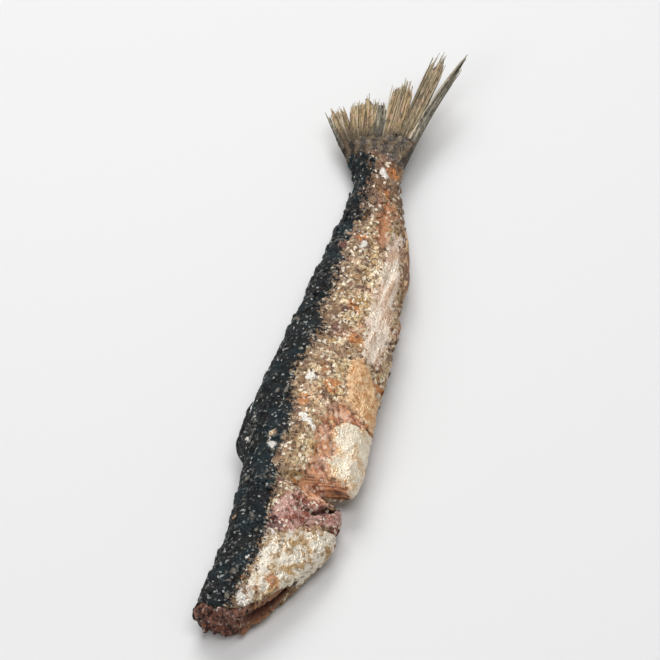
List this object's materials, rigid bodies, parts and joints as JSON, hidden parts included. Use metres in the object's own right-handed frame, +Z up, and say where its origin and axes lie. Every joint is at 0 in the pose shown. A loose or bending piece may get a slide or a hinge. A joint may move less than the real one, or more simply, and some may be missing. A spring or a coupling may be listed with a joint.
{
  "type": "dried herring",
  "caption": "Whole small dried herring with its head cut off, lying on its right flank, with split charred skin and a ragged tail fin.",
  "frame": {"origin": "bottom centre of the fish's bounding box, on the surface that it lies on", "axes": "+X from the neck cut to the tail fin, +Y from the belly to the back, +Z up through the left flank"},
  "size_m": [0.1504, 0.0312, 0.011],
  "materials": {
    "skin": "dried scaly skin, golden and silvery on the flanks and blue-black on the back, half glossy",
    "fin": "dry, brittle, grey-olive fin rays and membrane",
    "flesh": "dark reddish brown dried flesh, rough and slightly oily"
  },
  "bodies": {
    "root": {"dried_herring": "skin"}
  },
  "joints": []
}
